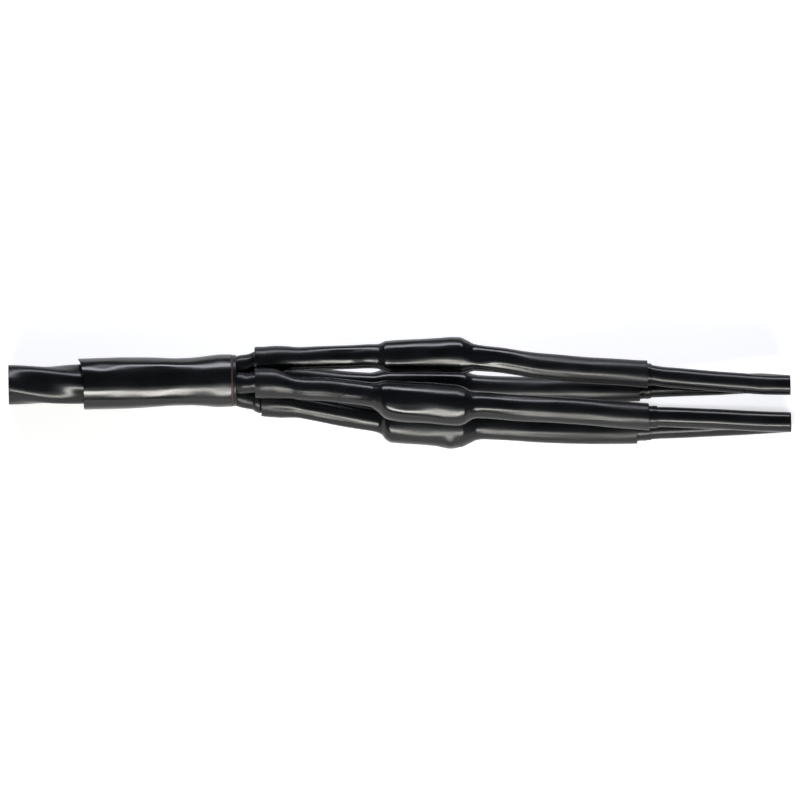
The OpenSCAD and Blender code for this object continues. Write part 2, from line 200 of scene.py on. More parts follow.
def wall_profile(outer, inner, wall, lip):
    """Closed section of a tube's wall as (x, depth below the outer skin): out along `outer`, round the lip of
    the far end in two quarter circles, back along `inner`, and round the near end's lip."""
    q = np.radians(np.arange(15, 90, 15))
    rise, run = lip * np.sin(q), lip * np.cos(q)
    a, b = outer[0], outer[-1]
    there = outer[(outer >= a + lip) & (outer <= b - lip)]
    back_again = inner[(inner > a + lip) & (inner < b - lip)][::-1]
    xs = [there, b - lip + rise, [b, b], b - lip + run, back_again, a + lip - rise, [a, a], a + lip - run]
    ds = [np.zeros(len(there)), lip - run, [lip, wall - lip], wall - lip + rise,
          np.full(len(back_again), wall), wall - lip + run, [wall - lip, lip], lip - rise]
    return np.concatenate(xs), np.concatenate(ds)


def tube(line, width, wall, outer, inner, around, lip=0.5, relief=None, cut=None):
    """Closed shell of a tube. At (x, a) the skin stands width(x) + relief(x, a) from the line's (y, z) at x,
    and the wall's section is carried round it. cut(x, a) shifts x, for an end that isn't cut square."""
    xs, depths = wall_profile(outer, inner, wall, lip)
    x, angle = places(xs, around)
    if cut:
        x = x + cut(x, angle)
    r = width(x) - depths[:, None] + (relief(x, angle) if relief else 0)
    return round_line(line, x, r, angle), True, None, None


# Rings of a bar's end face, as shares of its radius, closer together towards the rim.
FACE_RINGS = np.array([0.08, 0.2, 0.32, 0.44, 0.55, 0.65, 0.74, 0.82, 0.89, 0.95, 0.99])


def bar(line, width, xs, around, relief, face):
    """Closed shell of a solid bar along the line. Its ends are discs of rings, and face(q, a) moves a point
    of them outwards, where q is its share of the radius."""
    n = len(FACE_RINGS)
    x, angle = places(np.concatenate([np.full(n, xs[0]), xs, np.full(n, xs[-1])]), around)
    share = np.repeat(np.concatenate([FACE_RINGS, np.ones(len(xs)), FACE_RINGS[::-1]])[:, None], around, 1)
    grid = round_line(line, x, (width(x) + relief(x, angle)) * share, angle)
    poles = [on_line(line, xs[0]), on_line(line, xs[-1])]
    for rings, pole, way in ((slice(None, n), poles[0], -1), (slice(-n, None), poles[1], 1)):
        grid[rings, :, 0] += way * face(share[rings], angle[rings])
        pole[0] += way * float(face(np.zeros(1), np.zeros(1))[0])
    return grid, False, *poles


# Half of the joint's length.
HALF = 605.0
# The four-core cable's line, x, y, z, and the radius over its sleeve, x, r.
TRUNK = np.array([
    (-640, 40.1, 34.9), (-603, 39.1, 35.7), (-541, 37.3, 37.0), (-510, 37.1, 37.9), (-463, 36.8, 39.3),
    (-401, 36.2, 41.2), (-340, 35.8, 43.1), (-293, 35.3, 44.5), (-240, 34.7, 46.0)])
TRUNK_SLEEVE = np.array([
    (-500, 39.7), (-479, 39.9), (-455, 40.2), (-432, 40.2), (-401, 39.4), (-370, 38.0), (-345, 36.9),
    (-324, 37.0), (-308, 38.1), (-293, 39.7), (-277, 41.0), (-262, 40.8), (-250, 40.6)])
# Each phase's line, x, y, z, and the radius over its sleeve.
PHASE = [np.array(rows) for rows in (
    [(-221.7, 57.5, 66.8, 21.8), (-212.3, 56.8, 67.6, 22.5), (-192.2, 57.4, 70.0, 21.9),
     (-175.2, 57.5, 72.3, 20.2), (-153.5, 55.8, 75.8, 18.4), (-122.5, 54.1, 81.3, 18.4),
     (-76.0, 50.2, 91.1, 18.5), (-45.0, 46.5, 100.7, 18.8), (-33.0, 45.1, 102.6, 19.2),
     (-27.5, 44.5, 102.9, 21.0), (-20.2, 44.0, 103.1, 24.6), (-10.8, 43.7, 103.0, 25.7),
     (1.6, 43.8, 103.0, 26.2), (32.6, 44.0, 103.2, 26.7), (63.6, 44.1, 103.3, 27.6),
     (82.2, 44.2, 103.4, 28.6), (94.5, 43.8, 103.2, 28.6), (107.0, 42.3, 102.5, 24.8),
     (117.8, 40.8, 101.9, 20.9), (128.7, 38.8, 102.9, 20.3), (156.6, 33.7, 106.3, 19.8),
     (187.6, 27.8, 106.2, 19.8), (203.1, 24.7, 105.5, 20.3), (246.5, 19.8, 103.0, 20.6),
     (289.9, 16.1, 100.7, 20.5), (342.6, 12.1, 99.1, 20.6), (373.6, 9.3, 98.2, 20.9),
     (386.0, 8.4, 97.8, 21.2)],
    [(-218.6, 48.1, 24.9, 20.6), (-197.0, 49.1, 23.0, 21.4), (-176.7, 50.1, 21.8, 20.4),
     (-165.8, 49.0, 21.7, 19.2), (-153.5, 47.7, 22.0, 18.5), (-76.0, 36.5, 24.8, 18.6),
     (-45.0, 33.0, 26.2, 19.0), (-23.2, 30.9, 26.6, 24.8), (-10.8, 30.3, 26.7, 26.3),
     (32.6, 29.0, 26.8, 26.5), (86.8, 26.6, 27.1, 27.0), (100.8, 25.9, 27.0, 26.2), (116.2, 24.5, 26.3, 20.9),
     (125.5, 23.5, 26.1, 20.2), (156.6, 20.9, 26.5, 20.2), (187.6, 18.9, 27.5, 20.2),
     (280.6, 16.9, 29.7, 20.2), (374.0, 16.2, 31.6, 20.3)],
    [(-221.7, 17.9, 72.2, 23.2), (-212.3, 16.7, 74.1, 23.9), (-192.2, 13.7, 78.1, 23.6),
     (-178.2, 9.7, 79.9, 20.9), (-162.8, 4.0, 82.4, 17.9), (-111.6, -5.6, 92.8, 18.4),
     (-85.0, -12.0, 98.4, 18.8), (-60.5, -18.0, 103.6, 18.8), (-45.0, -22.7, 107.2, 19.4),
     (-34.1, -27.3, 108.5, 23.2), (-24.8, -31.0, 108.5, 28.3), (-14.0, -33.6, 108.5, 30.5),
     (48.1, -38.8, 108.6, 31.4), (86.8, -43.1, 108.5, 31.5), (99.2, -44.2, 108.5, 28.7),
     (111.6, -43.7, 108.3, 22.1), (119.4, -43.5, 108.0, 20.3), (181.3, -48.9, 106.7, 20.3),
     (246.5, -51.5, 101.6, 20.6), (311.6, -55.1, 95.6, 20.9), (373.6, -58.7, 89.0, 21.3),
     (386.0, -59.3, 87.6, 21.4)],
    [(-214.3, 4.3, 29.2, 20.9), (-200.0, 3.1, 29.0, 21.9), (-184.5, 1.8, 29.0, 21.9),
     (-169.0, -0.3, 29.8, 20.5), (-153.5, -4.1, 30.7, 18.6), (-122.5, -11.9, 32.3, 18.8),
     (-91.5, -19.4, 33.4, 19.2), (-60.5, -26.3, 34.2, 19.2), (-45.0, -29.2, 33.8, 19.0),
     (-34.0, -31.6, 33.5, 19.6), (-29.0, -32.6, 33.3, 21.2), (-21.5, -34.0, 33.0, 28.6),
     (-13.5, -35.3, 33.0, 31.6), (-6.0, -35.8, 33.0, 32.2), (32.6, -39.0, 33.1, 32.7),
     (79.0, -43.4, 33.1, 32.9), (94.5, -43.9, 33.0, 32.2), (107.0, -44.1, 32.9, 27.1),
     (119.4, -44.7, 32.7, 21.3), (128.7, -44.8, 32.2, 20.2), (156.6, -45.9, 30.3, 20.2),
     (218.6, -50.4, 28.8, 20.3), (311.6, -53.2, 25.5, 20.5), (368.0, -51.9, 22.6, 20.5)])]
# The cores' lines on their way through the boot, up to where the phases' lines start.
FAN = [np.array(rows) for rows in (
    [(-605, 52.7, 45.6), (-290, 48.5, 54.4), (-252, 51.8, 60.2), (-231, 54.4, 63.9)],
    [(-605, 49.5, 22.9), (-290, 45.3, 31.7), (-252, 47.3, 28.3), (-231, 48.4, 26.1)],
    [(-605, 30.0, 48.8), (-290, 25.8, 57.6), (-252, 21.5, 65.5), (-231, 18.8, 70.3)],
    [(-605, 26.8, 26.1), (-290, 22.6, 34.9), (-252, 15.2, 32.8), (-231, 9.8, 31.2)])]
# The single-core cables' lines beyond the sleeves.
BEYOND = [np.array(rows) for rows in (
    [(404.6, 5.2, 96.5), (435.6, 2.0, 95.5), (466.6, -1.0, 94.4), (497.6, -4.0, 93.3), (528.6, -6.6, 92.5),
     (559.6, -9.3, 91.6), (590.6, -10.6, 91.3), (640, -12.5, 91.0)],
    [(404.6, 16.4, 33.0), (435.6, 16.5, 34.4), (466.6, 16.4, 35.7), (497.6, 16.4, 37.0), (528.6, 16.8, 38.6),
     (559.6, 16.8, 39.9), (590.6, 14.2, 40.0), (640, 10.0, 39.8)],
    [(404.6, -59.2, 86.1), (435.6, -59.7, 83.2), (466.6, -60.3, 80.2), (497.6, -60.9, 77.3),
     (528.6, -62.0, 74.1), (559.6, -62.8, 71.1), (590.6, -63.0, 68.3), (640, -63.0, 64.0)],
    [(404.6, -49.5, 21.7), (435.6, -48.4, 20.6), (466.6, -46.9, 19.6), (497.6, -45.3, 18.7),
     (528.6, -43.9, 17.7), (559.6, -42.1, 16.8), (590.6, -40.2, 16.2), (640, -37.6, 15.9)])]


def line_of(*tables):
    """Function of x that gives y and z on the smooth curve through all the tables' stations."""
    whole = np.concatenate([t[:, :3] for t in tables])
    return lambda x: (eased(whole, 1, x), eased(whole, 2, x))


trunk_line = line_of(TRUNK)
phase_lines = [line_of(FAN[k], PHASE[k], BEYOND[k]) for k in range(4)]


def level(r):
    """The same radius at every x."""
    return lambda x: np.full(np.shape(x), float(r))


def radii(table):
    """Function of x that gives the radius, the table's last column, never overshooting a station."""
    table = np.asarray(table, float)
    return lambda x: eased(table, -1, x, held=True)


def linear(code):
    """sRGB hex to the linear colour that shaders use."""
    c = np.array([int(code[i:i + 2], 16) for i in (1, 3, 5)]) / 255
    return (*np.where(c <= 0.04045, c / 12.92, ((c + 0.055) / 1.055) ** 2.4), 1.0)


def finish_of(name):
    """New node material, its tree and its Principled shader."""
    material = bpy.data.materials.new(name)
    material.use_nodes = True
    return material, material.node_tree, material.node_tree.nodes["Principled BSDF"]


def add(tree, kind, into=None, **values):
    """Adds a node. values with a capital or a number in front are sockets, by name or by index after an
    underscore; the others are the node's own settings. into joins its first output to that socket."""
    node = tree.nodes.new("ShaderNode" + kind)
    for key, value in values.items():
        if key[0].isupper() or key[0] == "_":
            socket = node.inputs[int(key[1:]) if key[0] == "_" else key.replace("_", " ")]
            if isinstance(value, bpy.types.NodeSocket):
                tree.links.new(value, socket)
            else:
                socket.default_value = value
        else:
            setattr(node, key, value)
    if into:
        tree.links.new(node.outputs[0], into)
    return node.outputs[0]


def object_space(tree, stretch=(1, 1, 1)):
    """Object coordinates in metres, stretched along the axes."""
    place = tree.nodes.new("ShaderNodeTexCoord").outputs["Object"]
    return add(tree, "Mapping", Vector=place, Scale=stretch)


def span(tree, value, low, high, into=None, start=0.0, end=1.0):
    """Moves value from start..end to low..high."""
    return add(tree, "MapRange", into, _0=value, _1=start, _2=end, _3=low, _4=high)


# What black_plastic draws on every piece, as patterns in a metre: colour patches 40 mm wide, regions of
# duller and glossier skin 110 mm wide, and streaks 170 mm long and 11 mm wide.
PATCHES, REGIONS, STREAKS = 25.0, 9.0, (6, 90, 90)
# Heights of a full ripple and of a full grain, in metres.
RIPPLE_HIGH, GRAIN_HIGH = 0.001, 0.0002
# Where a sleeve was stretched most, and how far from there it starts and stops growing duller, in metres.
STRETCHED, DULLER_FROM, DULLER_TO = 0.03, 0.09, 0.25


def black_plastic(name, dark, dusty, rough, uneven, grain_mm, grain, ripple_mm, ripple, specular, duller=0.0):
    """Black plastic: two near-blacks in patches, roughness that wanders by `uneven` in regions and in long
    streaks, and a bump of fine grain on slow ripples, of the sizes given. Away from the connectors, where a
    sleeve was stretched less, it grows `duller`."""
    material, tree, shader = finish_of(name)
    place = object_space(tree)
    patches = add(tree, "TexNoise", Vector=place, Scale=PATCHES, Detail=3.0)
    streaks = add(tree, "TexNoise", Vector=object_space(tree, STREAKS), Scale=1.0, Detail=4.0, Roughness=0.6)
    add(tree, "MixRGB", shader.inputs["Base Color"], _0=span(tree, patches, 0, 1, start=0.35, end=0.7),
        _1=linear(dark), _2=linear(dusty))
    regions = add(tree, "TexNoise", Vector=place, Scale=REGIONS, Detail=1.0)
    both = add(tree, "Math", operation="ADD", _0=regions, _1=streaks)
    wandering = span(tree, both, rough - uneven, rough + uneven, start=0.7, end=1.3)
    off = add(tree, "Math", operation="SUBTRACT", _0=add(tree, "SeparateXYZ", Vector=place), _1=STRETCHED)
    off = add(tree, "Math", operation="ABSOLUTE", _0=off)
    add(tree, "Math", shader.inputs["Roughness"], operation="ADD", _0=wandering,
        _1=span(tree, off, 0, duller, start=DULLER_FROM, end=DULLER_TO))
    slow = add(tree, "TexNoise", Vector=place, Scale=1000 / ripple_mm, Detail=1.0)
    fine = add(tree, "TexNoise", Vector=place, Scale=1000 / grain_mm, Detail=2.0)
    low = add(tree, "Bump", Strength=ripple, Distance=RIPPLE_HIGH, Height=slow)
    add(tree, "Bump", shader.inputs["Normal"], Strength=grain, Distance=GRAIN_HIGH, Height=fine, Normal=low)
    shader.inputs["Specular IOR Level"].default_value = specular
    return material


def grained(name, dark, pale, rough, grain_mm, relief, metal=0.0, stretch=(1, 1, 1)):
    """One colour broken into another at the grain's size, a little duller in the pale, and a bump of the same
    grain."""
    material, tree, shader = finish_of(name)
    grain = add(tree, "TexNoise", Vector=object_space(tree, stretch), Scale=1000 / grain_mm, Detail=5.0,
                Roughness=0.6)
    add(tree, "MixRGB", shader.inputs["Base Color"], _0=span(tree, grain, 0, 1, start=0.3, end=0.7),
        _1=linear(dark), _2=linear(pale))
    span(tree, grain, rough - 0.08, rough + 0.1, shader.inputs["Roughness"], 0.3, 0.7)
    add(tree, "Bump", shader.inputs["Normal"], Strength=relief, Distance=0.0004, Height=grain)
    shader.inputs["Metallic"].default_value = metal
    return material


# The grain of all these blacks is about 0.1 mm in the real ones, too fine to show, so it is drawn 0.8 to 2 mm
# wide and very low. Their index is the default 1.5 of plastics, and the specular level is what the picture's
# highlights need.

# Thick polyolefin tube, extruded and then shrunk with a torch: the skin melts smooth, so it gives long clear
# highlights that only slow ripples bend.
trunk_gloss = black_plastic("polyolefin_shrunk_thick", "#08090b", "#0e0f12", rough=0.19, uneven=0.07,
                            grain_mm=1.2, grain=0.05, ripple_mm=16, ripple=0.10, specular=0.40)
# Thinner polyolefin tube, shrunk over a bulge: mirror-like where it was stretched, satin towards its ends.
phase_gloss = black_plastic("polyolefin_shrunk_phase", "#08090b", "#0f1013", rough=0.24, uneven=0.11,
                            grain_mm=1.5, grain=0.05, ripple_mm=14, ripple=0.10, specular=0.31, duller=0.12)
# Polyolefin boot, injection moulded and shrunk by hand: a soft shine that lumps break up.
boot_gloss = black_plastic("polyolefin_moulded_boot", "#08090b", "#101114", rough=0.31, uneven=0.06,
                           grain_mm=0.9, grain=0.10, ripple_mm=9, ripple=0.2, specular=0.28)
# Inner tube wet with hot-melt adhesive, which was pressed out at its end: small soft glints.
tube_gloss = black_plastic("polyolefin_tube_adhesive", "#08090b", "#101114", rough=0.27, uneven=0.05,
                           grain_mm=2.0, grain=0.05, ripple_mm=5, ripple=0.2, specular=0.28)
# PVC cable sheath, extruded: an even satin gloss with faint ripples along its length.
sheath_gloss = black_plastic("pvc_extruded_sheath", "#090a0c", "#111215", rough=0.26, uneven=0.07,
                             grain_mm=0.8, grain=0.08, ripple_mm=22, ripple=0.08, specular=0.29)
# Butyl mastic, wound as tape and pressed: dull dark red-brown with soft lumps 1.5 mm wide.
mastic_red = grained("butyl_mastic_pressed", "#23100f", "#311815", 0.62, 1.5, 0.5)
# XLPE insulation, extruded: smooth, milky and satin. Its real grain is far finer than the 2.5 mm drawn.
insulation_grey = grained("xlpe_extruded", "#8f8a82", "#a29c92", 0.42, 2.5, 0.12)
# Rubbery bedding compound, extruded and sawn through: dull, with a sawn grain of 1.2 mm.
bedding_grey = grained("bedding_compound_sawn", "#2a2a2b", "#3a3a3a", 0.75, 1.2, 0.5)
# Aluminium wire, drawn and stranded: bright, with die lines along it, five times as long as wide. Real ones
# are 0.1 mm wide and are drawn 1 mm wide.
conductor_bright = grained("aluminium_drawn", "#b4b7bb", "#d3d5d8", 0.32, 1.0, 0.15, 1.0, (0.2, 1, 1))
# Aluminium connector, turned and tinned: an even satin white metal with cloudy grains of 1.4 mm.
connector_tinned = grained("aluminium_tinned", "#aeb1b4", "#c8cacc", 0.38, 1.4, 0.12, 1.0)
# Brass bolt, sheared off: a torn yellow face with grains of 0.8 mm.
bolt_sheared = grained("brass_sheared", "#a79c78", "#c3b88f", 0.35, 0.8, 0.2, 1.0)


def keep(piece, finish, node):
    """Gives a new piece its finish and hangs it on the root body, where it rides in place of the node, which
    it hides.
    """
    piece.data.materials.append(finish)
    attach(piece, "root")
    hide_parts(node)


def dress(node, finish):
    """Gives a CAD node that stays its finish."""
    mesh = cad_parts[node].data
    mesh.materials.clear()
    mesh.materials.append(finish)


# The four-core cable: radius over its sheath, the sheath's wall, and where it is cut back inside the sleeve.
SHEATH_R, SHEATH_WALL, SHEATH_CUT = 29.5, 1.8, -290
BEDDING_R, CORE_HOLE_R = 27.6, 10.95
# Lobes that the laid cores press out: height, lay length, and the angle at x -603.
LOBE, LAY, LOBE_TURN = 1.3, 500, math.radians(30)
SHEATH_SPOTS = [(-560, 56, 200, 11, 1.5)]


def lay(x, a):
    """The four laid cores press the sheath out into lobes that turn once in 0.5 m, and its front stands out
    along its length. All of it dies away under the sleeve."""
    lobes = LOBE * np.cos(4 * (a - LOBE_TURN - TURN * (x + 603) / LAY))
    return (lobes + spots_on(x, a, SHEATH_SPOTS, SHEATH_R) + 0.15 * swells(3, x, a, 5, 5, 90)) \
        * (1 - step(x, -496, -440))


def sheath_width(x):
    """Radius over the cable's sheath, a little less where the sleeve presses on it."""
    return SHEATH_R - 0.4 * step(x, -496, -480)


sheath = skin("trunk_sheath_skin", [tube(
    trunk_line, sheath_width, SHEATH_WALL, spaced(-HALF, SHEATH_CUT, 5, (-HALF, -480, 1.6)),
    spaced(-HALF, SHEATH_CUT, 12), around=144, lip=0.4, relief=lay)])
keep(sheath, sheath_gloss, "trunk_sheath")


def bedding_shell():
    """Bedding round the four cores: an outline that follows the sheath's lobes, four round holes, and flat
    ends between them."""
    xs = spaced(-HALF + 0.5, SHEATH_CUT - 2, 9)
    x, angle = places(xs, 144)
    sheets = [round_line(trunk_line, x, BEDDING_R + 0.95 * lay(x, angle), angle)]
    x, angle = places(xs, 48, -1)
    sheets += [round_line(line, x, CORE_HOLE_R, angle) for line in phase_lines]
    firsts = np.cumsum([0] + [s[..., 0].size for s in sheets[:-1]])
    loops = [quads_of(*s.shape[:2]) + first for s, first in zip(sheets, firsts)]
    sizes = [np.full(len(quads) // 4, 4) for quads in loops]
    for row, way in ((0, -1), (len(xs) - 1, 1)):
        rings = [s[row] * (0, 1, 1) for s in sheets]
        number = np.concatenate([first + row * len(ring) + np.arange(len(ring))
                                 for first, ring in zip(firsts, rings)])
        triangles = np.array(tessellate_polygon([ring.tolist() for ring in rings]))
        corner = np.concatenate(rings)[triangles]
        facing = np.cross(corner[:, 1] - corner[:, 0], corner[:, 2] - corner[:, 0])[:, 0]
        wrong = facing * way < 0
        triangles[wrong] = triangles[wrong][:, ::-1]
        loops.append(number[triangles].reshape(-1))
        sizes.append(np.full(len(triangles), 3))
    return np.concatenate([s.reshape(-1, 3) for s in sheets]), np.concatenate(loops), np.concatenate(sizes)


bedding = make("trunk_bedding_skin", *bedding_shell(), smooth=False)
keep(bedding, bedding_grey, "trunk_bedding")

# The trunk sleeve: its ends, its wall, and the places where it stands out or is flat, as in spots_on.
TRUNK_FROM, TRUNK_TO, TRUNK_WALL, TRUNK_R = -488.5, -259.6, 2.5, 39
TRUNK_SPOTS = [(-365, 55, 170, 13, 1.8), (-318, 60, 45, 12, 1.0), (-400, 26, 120, 7, -0.35),
               (-270, 20, 18, 12, -1.2), (-488, 155, 60, 18, -1.7), (-457, -42, 20, 8, -1.1),
               (-375, -45, 55, 6, 0.7), (-280, -40, 22, 7, -0.5)]
# The mastic wound on the cable, and the bead of it that shows at the sleeve's right end.
WRAP_FROM, WRAP_TO = -484, -357
BEAD_FROM, BEAD_TO, BEAD_R, BEAD_WALL = -260.4, -256.8, 40.1, 3.6


def trunk_cut(x, a):
    """The left end is cut askew, 8 mm further out at the back, with small waves along the knife line."""
    slant = -7.7 * np.exp(-(apart(a, math.radians(25)) / 0.85) ** 2)
    return (slant + 0.5 * np.cos(3 * a + 1) + 0.3 * np.cos(7 * a)) * (1 - step(x, -489, -462))


def trunk_relief(x, a):
    """Slow unevenness of the shrunk wall, and the flats and ridges of TRUNK_SPOTS."""
    return 0.28 * swells(11, x, a, 7, 4, 110) + 0.10 * swells(12, x, a, 6, 9, 40) \
        + spots_on(x, a, TRUNK_SPOTS, TRUNK_R)


def wrap_shell():
    """Mastic wound between cable and sleeve. Its bore follows the sheath's lobes and its outside the sleeve's
    wall, and its left face keeps about 5 mm inside the sleeve's askew edge."""
    xs = spaced(WRAP_FROM, WRAP_TO, 5, (WRAP_FROM, WRAP_FROM + 10, 1))
    x, angle = places(np.concatenate([xs, xs[::-1]]), 144)
    bore = sheath_width(x) + lay(x, angle) + 0.1
    tapers = 2.2 * (1 - step(x, WRAP_FROM, WRAP_FROM + 8)) + 1.5 * step(x, WRAP_TO - 5, WRAP_TO)
    out = radii(TRUNK_SLEEVE)(x) - TRUNK_WALL - 0.25 + trunk_relief(x, angle) - tapers
    inside = np.arange(2 * len(xs))[:, None] >= len(xs)
    x = x + 0.8 * trunk_cut(x, angle) + np.where(inside & (x < WRAP_FROM + 1), 1.5, 0)
    return round_line(trunk_line, x, np.where(inside, bore, out), angle), True, None, None


def squeezed(x, a):
    """Uneven bead of mastic pressed out between sleeve and boot."""
    return 0.3 * swells(13, x, a, 6, 11, 30)


wrap = skin("trunk_wrap_skin", [wrap_shell(), tube(
    trunk_line, level(BEAD_R), BEAD_WALL, spaced(BEAD_FROM, BEAD_TO, 0.6), spaced(BEAD_FROM, BEAD_TO, 1.8),
    around=168, lip=1.3, relief=squeezed)])
keep(wrap, mastic_red, "trunk_wrap")
trunk_sleeve = skin("trunk_sleeve_skin", [tube(
    trunk_line, radii(TRUNK_SLEEVE), TRUNK_WALL,
    spaced(TRUNK_FROM, TRUNK_TO, 2.2, (-489, -480, 1), (-266, -259, 0.7)), spaced(TRUNK_FROM, TRUNK_TO, 10),
    around=168, lip=0.7, relief=trunk_relief, cut=trunk_cut)])
keep(trunk_sleeve, trunk_gloss, "trunk_sleeve")

# The boot, x and radius: its palm with the collar that shows beyond the sleeve, its fingers, and phase 4's
# finger, whose rolled end shows beyond its sleeve.
PALM = [(-352, 33.2), (-318, 33.2), (-305, 34.6), (-285, 36.2), (-268, 37.4), (-260, 38.2), (-257.6, 39.2),
        (-254, 39.9), (-252.2, 39.3), (-251, 36.5), (-250, 30), (-248.6, 19), (-247.8, 6), (-247.6, 0.6)]
FINGER = [(-266, 12.6), (-258, 14.8), (-251, 16.4), (-244, 16.8), (-236, 16.1), (-229, 15.7), (-222, 15.4),
          (-182, 15.4)]
ROLLED = [(-266, 12.6), (-258, 14.8), (-251, 16.6), (-244, 16.9), (-236, 16.2), (-227, 15.6), (-224.5, 16.8),
          (-222, 17.4), (-217, 17.2), (-214.5, 16.0), (-212, 15.4), (-182, 15.4)]
PALM_WALL, FINGER_WALL, FINGER_ROOT_R = 2.9, 3.4, 13.9
FINGER_FROM, FINGER_TO = -266, -183


def palm_radius(x, a):
    """The palm is round in the sleeve. Towards its end the web between the fingers falls to the axis, and the
    skin is the outermost of the web and the four finger circles along a ray from the axis."""
    web = radii(PALM)(x)
    cy, cz = trunk_line(x)
    lobes = np.zeros(np.shape(x))
    for line in phase_lines:
        y, z = line(x)
        c, off = np.hypot(y - cy, z - cz), apart(a, np.arctan2(z - cz, y - cy))
        room = np.clip(FINGER_ROOT_R ** 2 - (c * np.sin(off)) ** 2, 0, None)
        reach = np.where((room > 0) & (np.cos(off) > 0), c * np.cos(off) + np.sqrt(room), 0)
        lobes = np.maximum(lobes, reach)
    return web + np.clip(lobes - web, 0, None) * step(x, -285, -262) * (1 - step(x, -250.5, -248))


def palm_shell():
    """A cup: from a pole inside, out to the inner wall, back to the open end, along the outer skin, and in to
    a pole."""
    inner = spaced(-351, -262, 8)[::-1]
    xs = np.concatenate([inner[:1], inner, spaced(-352, -266, 6), spaced(-265, -247.6, 0.5)])
    x, angle = places(xs, 168)
    lumps = 0.25 * swells(21, x, angle, 6, 6, 40) * step(x, -300, -262) * (1 - step(x, -250, -248))
    r = palm_radius(x, angle) + lumps
    r[:len(inner) + 1] -= PALM_WALL
    r[0] = 3.0
    return round_line(trunk_line, x, r, angle), False, on_line(trunk_line, xs[0]), on_line(trunk_line, -247.5)


def finger_relief(k):
    """Lumps of the moulded finger, where it was shrunk by hand."""
    return lambda x, a: (0.45 * swells(31 + k, x, a, 6, 3, 22) + 0.2 * swells(41 + k, x, a, 6, 6, 12)) \
        * step(x, -262, -250) * (1 - step(x, -224, -214))


boot = skin("boot_skin", [palm_shell()] + [tube(
    phase_lines[k], radii(ROLLED if k == 3 else FINGER), FINGER_WALL,
    spaced(FINGER_FROM, FINGER_TO, 4, (-258, -212, 0.7)), spaced(FINGER_FROM, FINGER_TO, 8),
    around=96, lip=0.7, relief=finger_relief(k)) for k in range(4)])
keep(boot, boot_gloss, "boot")

# The phases: where each sleeve starts and ends, where its inner tube ends, and that end's radius.
START = (-223.0, -218.5, -223.0, -214.0)
END = (384.5, 373.5, 385.0, 367.5)
TUBE_END = (391.0, 391.0, 398.0, 389.0)
MOUTH_R = (17.2, 17.3, 17.6, 16.8)
TUBE_FROM, SLEEVE_WALL, TUBE_WALL, SLEEVE_R = -169, 2.6, 1.4, 25
# Where the shoulders of a bulge need closer stations.
SHOULDERS = ((-48, -4, 1.3), (84, 132, 1.3))
# Places where a phase's sleeve stands out or is flat, as in spots_on. Phase 4's high ones are the blister
# over a bolt head.
SPOTS = (
    [(78, 21, 55, 8, -1.15), (40, -38, 60, 9, -0.6), (-80, -31, 48, 8, -1.1), (-100, 22, 60, 6, -0.5),
     (120, 28, 15, 10, 2.2), (170, 27, 60, 5, -0.6), (260, 30, 80, 6, -0.5), (240, -40, 60, 5, -0.4)],
    [(44, -38, 44, 5, 0.7), (30, 155, 90, 13, -0.8)],
    [(10, 10, 30, 11, -1.7), (62, 24, 34, 12, -1.9), (72, 62, 34, 12, 2.0), (0, -74, 22, 9, 1.2),
     (50, -47, 40, 8, -0.9), (-120, 25, 70, 5, -0.6), (-190, 20, 25, 7, -0.3), (240, 24, 130, 5.5, -0.6),
     (170, -48, 60, 5, -0.4), (386, 65, 34, 9, -1.4)],
    [(30, 12, 48, 13, -2.0), (30, 52, 50, 9, 0.6), (77, 56, 8, 7.5, 3.1), (77, 90, 13, 11, 2.5),
     (-110, 60, 80, 8, 1.3), (-120, 25, 80, 5, -0.4), (-185, 26, 25, 7, -0.7), (240, 26, 130, 5.5, -0.6),
     (30, 155, 80, 14, -0.8)])


def hand_shrunk(k):
    """Unevenness of a sleeve shrunk with a torch: slow swells, more of them on the right arm, and the flats,
    hollows and ridges of SPOTS. A tenth of it is left at the left end, which the finger holds round."""
    def relief(x, a):
        rise = 0.22 * swells(51 + k, x, a, 7, 3, 120) + 0.10 * swells(61 + k, x, a, 7, 5, 45)
        arm = 0.35 * swells(71 + k, x, a, 6, 4, 160) + 0.12 * swells(81 + k, x, a, 6, 7, 60)
        rise = rise + arm * step(x, 100, 135) + spots_on(x, a, SPOTS[k], SLEEVE_R)
        return rise * (0.1 + 0.9 * step(x, START[k] + 1, START[k] + 20))
    return relief


def tube_width(k):
    """The inner tube fills the sleeve from inside, and narrows to the bare cable beyond it."""
    def width(x):
        inside = radii(PHASE[k])(x) - SLEEVE_WALL - 0.2
        return inside + (MOUTH_R[k] - inside) * step(x, END[k] - 12, END[k] - 2)
    return width


def pressed_out(k):
    """Adhesive pressed out round the inner tube's end, in soft beads."""
    return lambda x, a: step(x, END[k] + 1, END[k] + 3) * (0.36 * swells(91 + k, x, a, 6, 7, 9) - 0.3)


def extruded(k):
    """An extruded sheath is nearly round, with slow waves."""
    return lambda x, a: 0.10 * swells(101 + k, x, a, 6, 3, 70) + 0.06 * swells(111 + k, x, a, 5, 5, 30)


# Rings of strands in a conductor, as share of its radius and count; a strand's radius as a share, and its
# height and the depth of a groove.
STRAND_RINGS = ((0, 1), (0.29, 6), (0.58, 12), (0.86, 18))
STRAND_R, STRAND_HIGH = 0.15, 0.5


def strands(q, a):
    """Cut end of a conductor: each strand is a low dome, the root of 1 less the square of the distance to its
    centre over its radius, and the gaps between lie lower."""
    y, z = q * np.cos(a), q * np.sin(a)
    near = np.full(np.shape(q), np.inf)
    for radius, count in STRAND_RINGS:
        t = np.arange(count) * TURN / count
        off = np.hypot(y[..., None] - radius * np.cos(t), z[..., None] - radius * np.sin(t))
        near = np.minimum(near, off.min(-1))
    return STRAND_HIGH * (np.sqrt(np.clip(1 - (near / STRAND_R) ** 2, 0, 1)) - 1)


